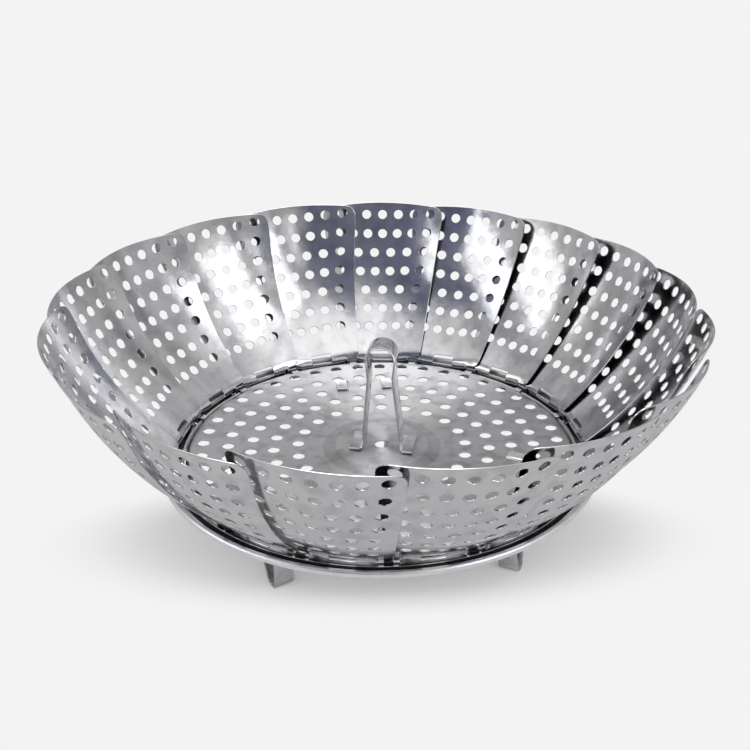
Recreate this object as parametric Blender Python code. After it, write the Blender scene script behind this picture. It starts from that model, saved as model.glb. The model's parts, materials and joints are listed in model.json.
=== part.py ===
"""Folding steamer basket in stainless sheet: a perforated base plate on three
legs, a lifting loop in the middle, and seventeen overlapping petals hooked on
one ring of wire, so that all of them fold in together.

Units are metres, +Z is up and the floor is at zero. The petals stand at rest
in their open position, and each petal's origin is the middle of its own hinge.
"""

import math

import bmesh
import bpy
from mathutils import Vector, geometry

MM = 0.001

# Overall sizes
PETAL_COUNT = 17
FIRST_PETAL_DEG = 90.0
CROWDING_DEG = 3.5
CROWDED_SIDE_DEG = 75.0
PLATE_HEIGHT = 47.0 * MM
HINGE_RADIUS = 81.6 * MM
RING_STEPS = 51
SEAT_GAP = 0.3 * MM

# Base plate
PLATE_SHEET = 0.6 * MM
PLATE_EDGE_TO_HINGE = 4.0 * MM
EDGE_ROLL_OUT = 2.6 * MM
EDGE_ROLL_DROP = 2.0 * MM
DISH_DEPTH = 1.2 * MM
HUB_FLAT_RADIUS = 18.7 * MM
HUB_FOOT_RADIUS = 25.0 * MM
HUB_STEPS = 24
CENTRE_HOLE_RADIUS = 3.0 * MM
CENTRE_HOLE_SIDES = 8
PLATE_HOLE_SIDE = 6.2 * MM
PLATE_HOLE_RINGS = 5
FIRST_RING_RADIUS = 35.0 * MM
LAST_RING_TO_EDGE = 4.5 * MM
PLATE_HOLE_PITCH = 19.5 * MM
HOLE_MARGIN = 1.2 * MM

# Rim: a bead outside, a groove and a low inner lip
HINGE_TO_LIP = 5.0 * MM
LIP_TO_BEAD = 1.2 * MM
BEAD_WIDTH = 2.5 * MM
BEAD_HEIGHT = 2.5 * MM
BEAD_DROP = 0.4 * MM
BEAD_CHAMFER = 0.6 * MM
LIP_DROP = 1.1 * MM
RIM_SHEET = 0.6 * MM
GROOVE_DROP = 2.7 * MM

# Hinge wire and the clips that hold it
HINGE_DROP = 2.3 * MM
WIRE_RADIUS = 0.8 * MM
WIRE_SIDES = 6
WIRE_CLEARANCE = 0.32 * MM
CLIP_WIDTH = 2.6 * MM
CLIP_SHEET = 0.5 * MM

# Petals, with half widths as shares of half the pitch at the hinge
PETAL_SHEET = 0.5 * MM
HOOK_RADIUS = 1.8 * MM
HOOK_TURN_DEG = 135.0
HOOK_STEPS = 3
NECK_SHARE = 0.807
NECK_RISE = 1.0 * MM
NECK_BEND = 4.0 * MM
BLADE_SLOPE_DEG = 39.6
BLADE_BOW_RADIUS = 140.6 * MM
BLADE_LENGTH = 74.8 * MM
BLADE_FOOT = 2.9 * MM
BLADE_FOOT_SHARE = 1.174
BLADE_SHARE = 1.869
BLADE_SHOULDER = 70.0 * MM
FOOT_CORNER = 2.5 * MM
RIM_CORNER = 4.5 * MM
RIM_ARC_RADIUS = 127.0 * MM
LEAN_AT_HINGE = 0.04
LEAN_AT_RIM = 0.08
CROWN_RADIUS_AT_HINGE = 94.0 * MM
CROWN_RADIUS_AT_RIM = 67.0 * MM
EDGE_LIFT_START = 8.0 * MM
EDGE_LIFT_RADIUS = 280.0 * MM
SLOT_WIDTH = 9.6 * MM
SLOT_START = 1.7 * MM
SLOT_LENGTH = 4.2 * MM
PETAL_HOLE_SIDE = 6.5 * MM
PETAL_HOLE_ROWS = 5
PETAL_HOLE_PITCH = 13.5 * MM
FIRST_ROW = 19.4 * MM
LAST_ROW = 73.0 * MM
LONGEST_EDGE = 24.0 * MM

# Lifting loop
LOOP_SHEET = 0.8 * MM
LOOP_WIDTH = 9.6 * MM
LOOP_HEIGHT = 46.0 * MM
LOOP_DIRECTION_DEG = -12.0
LOOP_ARCH_RADIUS = 5.8 * MM
LOOP_PINCH = 5.0 * MM
LOOP_PINCH_BELOW_TOP = 14.5 * MM
LOOP_FOOT_SPREAD = 8.7 * MM
LOOP_FOOT_LENGTH = 4.9 * MM
LOOP_FOOT_WIDTH = 14.4 * MM
LOOP_ARCH_STEPS = 8

# Legs
LEG_COUNT = 3
FIRST_LEG_DEG = 95.0
LEG_RADIUS = 55.4 * MM
LEG_SHEET = 0.8 * MM
LEG_WIDTH = 8.8 * MM
LEG_HALF_SPREAD = 10.2 * MM
LEG_STRAIGHT = 6.0 * MM
LEG_TOE_HALF_WIDTH = 2.8 * MM
LEG_TOE_RISE = 2.2 * MM
LEG_TAB = 5.0 * MM
LEG_LEAN = 3.6 * MM
SLIT_GAP = 0.35 * MM

PLATE_EDGE_RADIUS = HINGE_RADIUS - PLATE_EDGE_TO_HINGE
LAST_RING_RADIUS = PLATE_EDGE_RADIUS - LAST_RING_TO_EDGE
LIP_RADIUS = HINGE_RADIUS + HINGE_TO_LIP
BEAD_RADIUS = LIP_RADIUS + LIP_TO_BEAD
RIM_RADIUS = BEAD_RADIUS + BEAD_WIDTH
HINGE_HEIGHT = PLATE_HEIGHT - HINGE_DROP
PETAL_PITCH = math.tau / PETAL_COUNT
HALF_PITCH_WIDTH = HINGE_RADIUS * math.tan(PETAL_PITCH / 2)
NECK_HALF_WIDTH = HALF_PITCH_WIDTH * NECK_SHARE
BLADE_FOOT_HALF_WIDTH = HALF_PITCH_WIDTH * BLADE_FOOT_SHARE
BLADE_HALF_WIDTH = HALF_PITCH_WIDTH * BLADE_SHARE
BLADE_START = NECK_RISE + NECK_BEND
PETAL_LENGTH = BLADE_START + BLADE_LENGTH
PLATE_TOP_AT_HUB = PLATE_HEIGHT + PLATE_SHEET / 2


def clear_scene():
    """Remove what Blender starts with."""
    for old in list(bpy.data.objects):
        bpy.data.objects.remove(old, do_unlink=True)


def steel(name, colour, roughness):
    """Stainless steel with the given base colour and roughness."""
    material = bpy.data.materials.new(name)
    material.use_nodes = True
    shader = material.node_tree.nodes["Principled BSDF"]
    shader.inputs["Base Color"].default_value = (*colour, 1.0)
    shader.inputs["Metallic"].default_value = 1.0
    shader.inputs["Roughness"].default_value = roughness
    material.diffuse_color = (*colour, 1.0)
    return material


def add_object(name, bm, material, parent=None):
    """Turn a bmesh into a named object with one material."""
    mesh = bpy.data.meshes.new(name)
    bm.to_mesh(mesh)
    bm.free()
    mesh.materials.append(material)
    mesh.shade_smooth()
    mesh.set_sharp_from_angle(angle=math.radians(35.0))
    obj = bpy.data.objects.new(name, mesh)
    bpy.context.scene.collection.objects.link(obj)
    obj.parent = parent
    return obj


def thicken(obj, thickness):
    """Give a modelled middle surface its sheet thickness, half on each side."""
    solidify = obj.modifiers.new("sheet thickness", "SOLIDIFY")
    solidify.thickness = thickness
    solidify.offset = 0.0
    return solidify


def circle(radius, steps, centre=(0.0, 0.0), turn=0.0):
    """Points of a regular polygon, anticlockwise."""
    angles = [turn + math.tau * i / steps for i in range(steps)]
    return [
        (centre[0] + radius * math.cos(a), centre[1] + radius * math.sin(a))
        for a in angles
    ]


def square_hole(side, centre, turn=0.0):
    """A square opening. Fewer of these leave the sheet as open as its round holes."""
    return circle(side / math.sqrt(2), 4, centre, turn + math.pi / 4)


def fillet(before, corner, after, radius, steps):
    """Points of the arc that rounds one corner of an outline."""
    corner = Vector(corner)
    towards = (Vector(before) - corner).normalized()
    away = (Vector(after) - corner).normalized()
    half = towards.angle(away) / 2
    centre = corner + (towards + away).normalized() * (radius / math.sin(half))
    start = corner + towards * (radius / math.tan(half)) - centre
    end = corner + away * (radius / math.tan(half)) - centre
    turn = start.angle_signed(end)
    points = []
    for i in range(steps + 1):
        a = -turn * i / steps
        x = start.x * math.cos(a) - start.y * math.sin(a)
        y = start.x * math.sin(a) + start.y * math.cos(a)
        points.append((centre.x + x, centre.y + y))
    return points


def split_edges(points, longest):
    """An outline with points added so that no edge is longer than asked."""
    result = []
    for first, second in zip(points, points[1:] + points[:1]):
        count = max(1, math.ceil(math.dist(first, second) / longest - 0.001))
        for i in range(count):
            share = i / count
            result.append(
                (
                    first[0] + (second[0] - first[0]) * share,
                    first[1] + (second[1] - first[1]) * share,
                )
            )
    return result


def inside(point, loop):
    """True where a point lies inside a closed loop."""
    odd = False
    for (x1, y1), (x2, y2) in zip(loop, loop[1:] + loop[:1]):
        crosses = (y1 > point[1]) != (y2 > point[1])
        if crosses and point[0] < x1 + (point[1] - y1) * (x2 - x1) / (y2 - y1):
            odd = not odd
    return odd


def blank(outline, holes, creases=()):
    """A flat sheet cut to an outline, with holes and with creases to bend at."""
    points = []
    edges = []
    for loop in [outline, *holes]:
        start = len(points)
        points += loop
        edges += [(start + i, start + (i + 1) % len(loop)) for i in range(len(loop))]
    for crease, closed in creases:
        start = len(points)
        points += crease
        edges += [(start + i, start + i + 1) for i in range(len(crease) - 1)]
        if closed:
            edges.append((start + len(crease) - 1, start))
    flat = [Vector(p) / MM for p in points]
    cut = geometry.delaunay_2d_cdt(flat, edges, [], 1, 0.0005)
    bm = bmesh.new()
    verts = [bm.verts.new((p.x * MM, p.y * MM, 0.0)) for p in cut[0]]
    for face in cut[2]:
        middle = sum((cut[0][i] for i in face), Vector((0.0, 0.0))) * (MM / len(face))
        if not any(inside(middle, hole) for hole in holes):
            bm.faces.new([verts[i] for i in face])
    bmesh.ops.delete(bm, geom=[v for v in bm.verts if not v.link_faces], context="VERTS")
    return bm


def revolve(section, steps):
    """A closed ring: an outline of (radius, height) points spun about Z."""
    bm = bmesh.new()
    rings = []
    for i in range(steps):
        angle = math.tau * i / steps + math.radians(FIRST_PETAL_DEG)
        cos, sin = math.cos(angle), math.sin(angle)
        rings.append([bm.verts.new((r * cos, r * sin, z)) for r, z in section])
    for ring, following in zip(rings, rings[1:] + rings[:1]):
        for i in range(len(section)):
            j = (i + 1) % len(section)
            bm.faces.new((ring[i], following[i], following[j], ring[j]))
    bmesh.ops.recalc_face_normals(bm, faces=bm.faces)
    return bm


def ribbon(path, half_widths):
    """The middle surface of a strip: a path in XZ, as wide along Y as asked."""
    bm = bmesh.new()
    rows = [
        (bm.verts.new((x, -half, z)), bm.verts.new((x, half, z)))
        for (x, z), half in zip(path, half_widths)
    ]
    for (a, b), (c, d) in zip(rows, rows[1:]):
        bm.faces.new((a, b, d, c))
    bmesh.ops.recalc_face_normals(bm, faces=bm.faces)
    return bm


def slit_frames():
    """The place and direction of each leg, as (angle, radius)."""
    return [
        (math.radians(FIRST_LEG_DEG) + math.tau * i / LEG_COUNT, LEG_RADIUS)
        for i in range(LEG_COUNT)
    ]


def turned(x, y, angle):
    """A point turned about Z."""
    cos, sin = math.cos(angle), math.sin(angle)
    return (x * cos - y * sin, x * sin + y * cos)


def petal_angle(number):
    """Direction of a petal. They stand a little closer on the crowded side."""
    even = math.radians(FIRST_PETAL_DEG) + PETAL_PITCH * number
    shift = math.radians(CROWDING_DEG) * math.sin(even - math.radians(CROWDED_SIDE_DEG))
    return even - shift


def leg_slits():
    """The slits in the base plate that the two ends of each leg pass up through."""
    half_long = LEG_WIDTH / 2 + SLIT_GAP
    half_wide = LEG_SHEET / 2 + SLIT_GAP
    slits = []
    for angle, radius in slit_frames():
        for side in (-1, 1):
            corners = [(-1, -1), (1, -1), (1, 1), (-1, 1)]
            slits.append(
                [
                    turned(
                        radius + a * half_long,
                        side * LEG_HALF_SPREAD + b * half_wide,
                        angle,
                    )
                    for a, b in corners
                ]
            )
    return slits


def plate_perforations(slits):
    """Rings of holes, leaving out those that would meet a slit or a leg's tab."""
    holes = []
    keep_off = LEG_TAB + PLATE_HOLE_SIDE / 2 + HOLE_MARGIN
    middles = [
        (sum(x for x, _ in s) / len(s), sum(y for _, y in s) / len(s)) for s in slits
    ]
    for ring in range(PLATE_HOLE_RINGS):
        share = ring / (PLATE_HOLE_RINGS - 1)
        radius = FIRST_RING_RADIUS + (LAST_RING_RADIUS - FIRST_RING_RADIUS) * share
        count = round(math.tau * radius / PLATE_HOLE_PITCH)
        for i in range(count):
            angle = math.tau * (i + ring / 2) / count
            centre = (radius * math.cos(angle), radius * math.sin(angle))
            if min(math.dist(centre, m) for m in middles) > keep_off:
                holes.append(square_hole(PLATE_HOLE_SIDE, centre, angle))
    return holes


def plate_height(radius):
    """Height of the base plate's middle surface at a radius."""
    dish_top = PLATE_HEIGHT
    dish_bottom = PLATE_HEIGHT - DISH_DEPTH
    if radius <= HUB_FLAT_RADIUS:
        return dish_top
    if radius <= HUB_FOOT_RADIUS:
        share = (radius - HUB_FLAT_RADIUS) / (HUB_FOOT_RADIUS - HUB_FLAT_RADIUS)
        return dish_top - DISH_DEPTH * share
    if radius <= PLATE_EDGE_RADIUS:
        share = (radius - HUB_FOOT_RADIUS) / (PLATE_EDGE_RADIUS - HUB_FOOT_RADIUS)
        return dish_bottom + DISH_DEPTH * share
    share = (radius - PLATE_EDGE_RADIUS) / EDGE_ROLL_OUT
    return dish_top - EDGE_ROLL_DROP * share**2


def rim_section():
    """Outline of the rim: inner lip, groove and outer bead."""
    top = PLATE_HEIGHT - BEAD_DROP
    bottom = top - BEAD_HEIGHT
    groove = PLATE_HEIGHT - GROOVE_DROP
    lip_top = PLATE_HEIGHT - LIP_DROP
    return [
        (LIP_RADIUS, lip_top),
        (LIP_RADIUS, groove - RIM_SHEET),
        (BEAD_RADIUS, groove - RIM_SHEET),
        (RIM_RADIUS - BEAD_CHAMFER, bottom),
        (RIM_RADIUS, bottom + BEAD_CHAMFER),
        (RIM_RADIUS, top - BEAD_CHAMFER),
        (RIM_RADIUS - BEAD_CHAMFER, top),
        (BEAD_RADIUS + BEAD_CHAMFER, top),
        (BEAD_RADIUS, groove),
        (LIP_RADIUS + RIM_SHEET, groove),
        (LIP_RADIUS + RIM_SHEET, lip_top),
    ]


def clip_section():
    """Outline of a clip: a box sleeve round the wire and a strap to the rim."""
    room = WIRE_RADIUS + WIRE_CLEARANCE
    left = HINGE_RADIUS - room - CLIP_SHEET
    right = HINGE_RADIUS + room + CLIP_SHEET
    top = HINGE_HEIGHT + room + CLIP_SHEET
    bottom = HINGE_HEIGHT - room - CLIP_SHEET
    strap_end = LIP_RADIUS + RIM_SHEET / 2
    strap_top = PLATE_HEIGHT - GROOVE_DROP
    outline = [
        (left, bottom + CLIP_SHEET),
        (left + CLIP_SHEET, bottom),
        (right, bottom),
        (strap_end, strap_top - RIM_SHEET),
        (strap_end, strap_top),
        (right, strap_top),
        (right, top),
        (left + CLIP_SHEET, top),
        (left, top - CLIP_SHEET),
    ]
    sleeve = [
        (HINGE_RADIUS + a * room, HINGE_HEIGHT + b * room)
        for a, b in ((-1, -1), (1, -1), (1, 1), (-1, 1))
    ]
    return outline, sleeve


def clips_mesh():
    """The clips, one between each two petals."""
    outline, sleeve = clip_section()
    clips = bmesh.new()
    for i in range(PETAL_COUNT):
        angle = petal_angle(i + 0.5)
        flat = blank(outline, [sleeve])
        extruded = bmesh.ops.extrude_face_region(flat, geom=flat.faces[:])
        moved = [v for v in extruded["geom"] if isinstance(v, bmesh.types.BMVert)]
        bmesh.ops.translate(flat, verts=moved, vec=(0.0, 0.0, CLIP_WIDTH))
        for v in flat.verts:
            x, y = turned(v.co.x, v.co.z - CLIP_WIDTH / 2, angle)
            v.co = (x, y, v.co.y)
        bmesh.ops.recalc_face_normals(flat, faces=flat.faces)
        piece = bpy.data.meshes.new("clip")
        flat.to_mesh(piece)
        flat.free()
        clips.from_mesh(piece)
        bpy.data.meshes.remove(piece)
    return clips


def helper(name, bm, material):
    """A solid that is joined to another by a Boolean and isn't a part itself."""
    obj = add_object(name, bm, material)
    obj.hide_render = True
    obj.display_type = "WIRE"
    return obj


def unite(obj, other):
    """Join another solid to this one."""
    boolean = obj.modifiers.new("join " + other.name, "BOOLEAN")
    boolean.operation = "UNION"
    boolean.solver = "EXACT"
    boolean.object = other


def build_base_plate(material):
    """The dished, perforated plate with its raised hub, rim and wire clips."""
    start = math.radians(FIRST_PETAL_DEG)
    edge = circle(PLATE_EDGE_RADIUS + EDGE_ROLL_OUT, RING_STEPS, turn=start)
    slits = leg_slits()
    holes = [circle(CENTRE_HOLE_RADIUS, CENTRE_HOLE_SIDES), *slits]
    holes += plate_perforations(slits)
    creases = [
        (circle(HUB_FLAT_RADIUS, HUB_STEPS), True),
        (circle(HUB_FOOT_RADIUS, HUB_STEPS), True),
        (circle(PLATE_EDGE_RADIUS, RING_STEPS, turn=start), True),
    ]
    bm = blank(edge, holes, creases)
    for v in bm.verts:
        v.co.z = plate_height(math.hypot(v.co.x, v.co.y))
    plate = add_object("base_plate", bm, material)
    thicken(plate, PLATE_SHEET)
    unite(plate, helper("clips", clips_mesh(), material))
    unite(plate, helper("rim", revolve(rim_section(), RING_STEPS), material))
    return plate


def build_wire(material, parent):
    """The ring of wire that all the petals hook on."""
    section = [
        (HINGE_RADIUS + x, HINGE_HEIGHT + z) for x, z in circle(WIRE_RADIUS, WIRE_SIDES)
    ]
    return add_object("hinge_wire", revolve(section, RING_STEPS), material, parent)


def petal_profile(s):
    """Place (outward, up) and direction of a petal's middle line, from its hinge."""
    slope = math.radians(BLADE_SLOPE_DEG)
    if s <= 0:
        a = s / HOOK_RADIUS
        return HOOK_RADIUS * math.cos(a), HOOK_RADIUS * math.sin(a), a + math.pi / 2
    if s <= NECK_RISE:
        return HOOK_RADIUS, s, math.pi / 2
    bend_radius = NECK_BEND / (math.pi / 2 - slope)
    bend = min(s - NECK_RISE, NECK_BEND) / bend_radius
    x = HOOK_RADIUS + bend_radius * (1 - math.cos(bend))
    z = NECK_RISE + bend_radius * math.sin(bend)
    if s <= BLADE_START:
        return x, z, math.pi / 2 - bend
    angle = slope + (s - BLADE_START) / BLADE_BOW_RADIUS
    x += BLADE_BOW_RADIUS * (math.sin(angle) - math.sin(slope))
    z += BLADE_BOW_RADIUS * (math.cos(slope) - math.cos(angle))
    return x, z, angle


def petal_stand_off(u, s):
    """How far a petal's surface stands inward of its middle line.

    Each petal leans and is crowned across its width, so that one edge lies
    inside the next petal and the other outside it, at every angle of the fold.
    """
    share = s / PETAL_LENGTH
    lean = LEAN_AT_HINGE + (LEAN_AT_RIM - LEAN_AT_HINGE) * share
    crown = (1 - share) / CROWN_RADIUS_AT_HINGE + share / CROWN_RADIUS_AT_RIM
    lifted = max(0.0, -u - EDGE_LIFT_START)
    lift = share * lifted**2 / (2 * EDGE_LIFT_RADIUS)
    fade = min(1.0, max(0.0, s / BLADE_FOOT))
    fade = fade * fade * (3 - 2 * fade)
    return fade * (u * u * crown / 2 - lean * u + lift)


def bend_petal(bm):
    """Bend a flat petal: u across it is X and s along it is Y in the blank."""
    for v in bm.verts:
        u, s = v.co.x, v.co.y
        x, z, direction = petal_profile(s)
        off = petal_stand_off(u, s)
        v.co = (x - off * math.sin(direction), u, z + off * math.cos(direction))
    bmesh.ops.recalc_face_normals(bm, faces=bm.faces)


def rim_line(u):
    """How far up a petal its rim edge is, at a distance across it."""
    return PETAL_LENGTH - u * u / (2 * RIM_ARC_RADIUS)


def petal_outline():
    """The right half of the outline from hook to rim, then its mirror image."""
    hook = -HOOK_RADIUS * math.radians(HOOK_TURN_DEG)
    rows = [hook * (1 - i / HOOK_STEPS) for i in range(HOOK_STEPS + 1)]
    rows.append(NECK_RISE)
    half = [(NECK_HALF_WIDTH, s) for s in rows]
    foot = (BLADE_FOOT_HALF_WIDTH, BLADE_FOOT)
    shoulder = (BLADE_HALF_WIDTH, BLADE_SHOULDER)
    top = (BLADE_HALF_WIDTH, rim_line(BLADE_HALF_WIDTH))
    neck_top = (NECK_HALF_WIDTH, BLADE_FOOT)
    half.append(neck_top)
    half += fillet(neck_top, foot, shoulder, FOOT_CORNER, 2)
    half.append(shoulder)
    inner = (BLADE_HALF_WIDTH / 2, rim_line(BLADE_HALF_WIDTH / 2))
    half += fillet(shoulder, top, inner, RIM_CORNER, 2)
    half.append(inner)
    mirrored = [(-u, s) for u, s in reversed(half)]
    return half + [(0.0, rim_line(0.0))] + mirrored, rows


def petal_holes():
    """The slot near the hinge and the rows of perforations."""
    half = SLOT_WIDTH / 2
    end = SLOT_START + SLOT_LENGTH
    holes = [[(-half, SLOT_START), (half, SLOT_START), (half, end), (-half, end)]]
    for row in range(PETAL_HOLE_ROWS):
        s = FIRST_ROW + (LAST_ROW - FIRST_ROW) * row / (PETAL_HOLE_ROWS - 1)
        grown = (s - BLADE_FOOT) / (BLADE_SHOULDER - BLADE_FOOT)
        growth = (BLADE_HALF_WIDTH - BLADE_FOOT_HALF_WIDTH) * min(1.0, grown)
        width = 2 * (BLADE_FOOT_HALF_WIDTH + growth)
        count = round(width / PETAL_HOLE_PITCH)
        pitch = width / (count + 0.5)
        for i in range(count):
            centre = ((i - (count - 1) / 2) * pitch, s)
            holes.append(square_hole(PETAL_HOLE_SIDE, centre))
    return holes


def petal_mesh():
    """One petal, bent from its flat blank."""
    outline, rows = petal_outline()
    creases = [
        ([(-NECK_HALF_WIDTH, s), (NECK_HALF_WIDTH, s)], False) for s in rows[1:]
    ]
    bm = blank(split_edges(outline, LONGEST_EDGE), petal_holes(), creases)
    bend_petal(bm)
    return bm


def build_petals(material, parent):
    """The petals on their circle, each with its origin on its own hinge."""
    first = None
    for i in range(PETAL_COUNT):
        angle = petal_angle(i)
        name = f"petal_{i + 1:02d}"
        if first is None:
            petal = first = add_object(name, petal_mesh(), material)
        else:
            petal = bpy.data.objects.new(name, first.data)
            bpy.context.scene.collection.objects.link(petal)
        petal.parent = parent
        petal.location = (
            HINGE_RADIUS * math.cos(angle),
            HINGE_RADIUS * math.sin(angle),
            HINGE_HEIGHT,
        )
        petal.rotation_euler = (0.0, 0.0, angle)
        thicken(petal, PETAL_SHEET)


def build_loop(material, parent):
    """The lifting loop: one strip bent like a hairpin, with two feet on the hub."""
    foot = PLATE_TOP_AT_HUB + SEAT_GAP + LOOP_SHEET / 2
    top = PLATE_TOP_AT_HUB + LOOP_HEIGHT
    arch = top - LOOP_ARCH_RADIUS
    pinch = top - LOOP_PINCH_BELOW_TOP
    right = [
        (LOOP_FOOT_SPREAD + LOOP_FOOT_LENGTH, foot),
        (LOOP_FOOT_SPREAD, foot),
        (LOOP_PINCH, pinch),
    ]
    bow = [
        (LOOP_ARCH_RADIUS * math.cos(a), arch + LOOP_ARCH_RADIUS * math.sin(a))
        for a in (math.pi * i / LOOP_ARCH_STEPS for i in range(LOOP_ARCH_STEPS + 1))
    ]
    path = right + bow + [(-x, z) for x, z in reversed(right)]
    wide = LOOP_FOOT_WIDTH / 2
    halves = [wide, wide] + [LOOP_WIDTH / 2] * (len(path) - 4) + [wide, wide]
    loop = add_object("lifting_loop", ribbon(path, halves), material, parent)
    loop.rotation_euler = (0.0, 0.0, math.radians(LOOP_DIRECTION_DEG))
    thicken(loop, LOOP_SHEET)


def lean(strip, angle, top, bottom):
    """Slide the lower part of a leg toward the part's +X, the toe the most."""
    for vert in strip.verts:
        share = (top - vert.co.z) / (top - bottom)
        slide = LEG_LEAN * min(max(share, 0.0), 1.0)
        vert.co.x -= slide * math.sin(angle)
        vert.co.y -= slide * math.cos(angle)


def build_legs(material, parent):
    """Three legs, each one strip bent to a V with its ends clinched over the plate."""
    tab = plate_height(LEG_RADIUS) + PLATE_SHEET / 2 + SEAT_GAP + LEG_SHEET / 2
    bend = tab - LEG_STRAIGHT
    toe = LEG_SHEET / 2
    path = [
        (-LEG_HALF_SPREAD + LEG_TAB, tab),
        (-LEG_HALF_SPREAD, tab),
        (-LEG_HALF_SPREAD, bend),
        (-LEG_TOE_HALF_WIDTH, toe + LEG_TOE_RISE),
        (-LEG_TOE_HALF_WIDTH / 2, toe),
        (LEG_TOE_HALF_WIDTH / 2, toe),
        (LEG_TOE_HALF_WIDTH, toe + LEG_TOE_RISE),
        (LEG_HALF_SPREAD, bend),
        (LEG_HALF_SPREAD, tab),
        (LEG_HALF_SPREAD + LEG_TAB, tab),
    ]
    for i, (angle, radius) in enumerate(slit_frames()):
        strip = ribbon(path, [LEG_WIDTH / 2] * len(path))
        lean(strip, angle, bend, toe)
        leg = add_object(f"leg_{i + 1}", strip, material, parent)
        leg.location = (radius * math.cos(angle), radius * math.sin(angle), 0.0)
        leg.rotation_euler = (0.0, 0.0, angle + math.pi / 2)
        thicken(leg, LEG_SHEET)


def main():
    """Build the whole basket."""
    clear_scene()
    plate_steel = steel("plate steel", (0.62, 0.62, 0.63), 0.28)
    petal_steel = steel("petal steel", (0.72, 0.72, 0.73), 0.24)
    wire_steel = steel("wire steel", (0.55, 0.55, 0.56), 0.3)
    strip_steel = steel("strip steel", (0.66, 0.66, 0.67), 0.22)
    plate = build_base_plate(plate_steel)
    build_wire(wire_steel, plate)
    build_petals(petal_steel, plate)
    build_loop(strip_steel, plate)
    build_legs(strip_steel, plate)


main()
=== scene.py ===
"""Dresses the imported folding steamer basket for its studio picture.

The frame gives the bodies and the hinges. Every sheet, strip and wire of the
basket is built here again at full detail, with round holes and real bends, on
the same sizes as the solids, and gets its own stainless finish. Lengths are in
metres, +Z is up and the floor is at zero.
"""

import json
import logging
import math
from dataclasses import dataclass, field
from enum import Enum
from functools import cache
from typing import Callable, Sequence

import bpy
import numpy as np
from mathutils import Matrix, Vector, geometry


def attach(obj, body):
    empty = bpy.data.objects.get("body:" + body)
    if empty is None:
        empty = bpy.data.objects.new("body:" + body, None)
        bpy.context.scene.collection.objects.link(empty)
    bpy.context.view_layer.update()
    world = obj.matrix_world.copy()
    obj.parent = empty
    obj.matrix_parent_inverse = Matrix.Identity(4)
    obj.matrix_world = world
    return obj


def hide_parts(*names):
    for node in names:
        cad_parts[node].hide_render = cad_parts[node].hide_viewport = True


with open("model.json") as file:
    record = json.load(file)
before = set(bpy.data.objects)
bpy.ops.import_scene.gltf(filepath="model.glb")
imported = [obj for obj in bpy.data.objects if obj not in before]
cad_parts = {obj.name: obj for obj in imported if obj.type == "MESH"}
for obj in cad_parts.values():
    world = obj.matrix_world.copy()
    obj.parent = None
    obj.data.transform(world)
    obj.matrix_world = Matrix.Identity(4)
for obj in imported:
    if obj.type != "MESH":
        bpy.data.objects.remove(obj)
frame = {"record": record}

LOG = logging.getLogger("steamer basket")
MM = 0.001
IMAGE_SIDE_PX = 750.0
SHARP_EDGE = math.radians(38.0)
SHEET_STRIDE = 0.1  # from one petal's sheet to the next in the pattern's own plane
EDGE_STEP = 1.2 * MM  # the longest piece of a slot's edge
BOX_STEPS = 3  # how many pieces the corner of a small rectangle has
BEND_STEPS = 5  # how many pieces a bend or the corner of a section has
STRIP_POINTS = 4  # how many points each rounded edge of a strip has
ROUNDING = 1e-3  # the share of a piece that a line may be over before it is divided
BLOCK_ROWS = 400  # how many points are worked on at a time
CLEAR_SHARE = 0.55  # how far the lattice keeps from cut edges, in pitches
MERGE_MM = 1e-5  # how near two points of a blank are taken as one
SLIVER = 1e-14  # the area under which a triangle is dropped
PROBE = 0.02 * MM  # half the distance over which a bent sheet's slopes are taken

Array = np.ndarray
Place = Callable[[Array, Array], Array]
Pair = tuple[float, float]
Colour = tuple[float, float, float]
Scale = tuple[float, float, float]
Socket = bpy.types.NodeSocket
Feed = Socket | float | Sequence[float]


@dataclass
class Surface:
    """Points and faces of one mesh, with a flat pattern coordinate for each point."""

    points: Array
    faces: list[list[int]]
    pattern: Array


@dataclass
class Blank:
    """A flat sheet after cutting: its points (across, along) and its triangles."""

    points: Array
    triangles: Array


def grey(level: float) -> tuple[float, float, float, float]:
    """An even grey, as a node takes it."""
    return (level, level, level, 1.0)


def turn_about_z(points: Array, angle: float) -> Array:
    """Turn points about the Z axis.

    Args:
        points: Points, one row each.
        angle: Turn in radians, anticlockwise from above.

    Returns:
        The turned points.
    """
    cos, sin = math.cos(angle), math.sin(angle)
    turn = np.array([[cos, sin, 0.0], [-sin, cos, 0.0], [0.0, 0.0, 1.0]])
    return points @ turn


def unit(rows: Array) -> Array:
    """Scale each row to length one."""
    return rows / np.linalg.norm(rows, axis=-1, keepdims=True)


def distance_along(line: Array) -> Array:
    """How far each point of a line lies from its start, along the line."""
    return np.concatenate([[0.0], np.cumsum(np.linalg.norm(np.diff(line, axis=0), axis=1))])


def circle(radius: float, steps: int, centre: Pair = (0.0, 0.0)) -> Array:
    """Points of a circle in the flat: centre + radius (cos a, sin a).

    Args:
        radius: Its radius.
        steps: How many points it has.
        centre: Where its middle is.

    Returns:
        The points, anticlockwise, one row each.
    """
    angle = np.arange(steps) * (math.tau / steps)
    return np.stack([np.cos(angle), np.sin(angle)], axis=1) * radius + np.array(centre)


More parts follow.
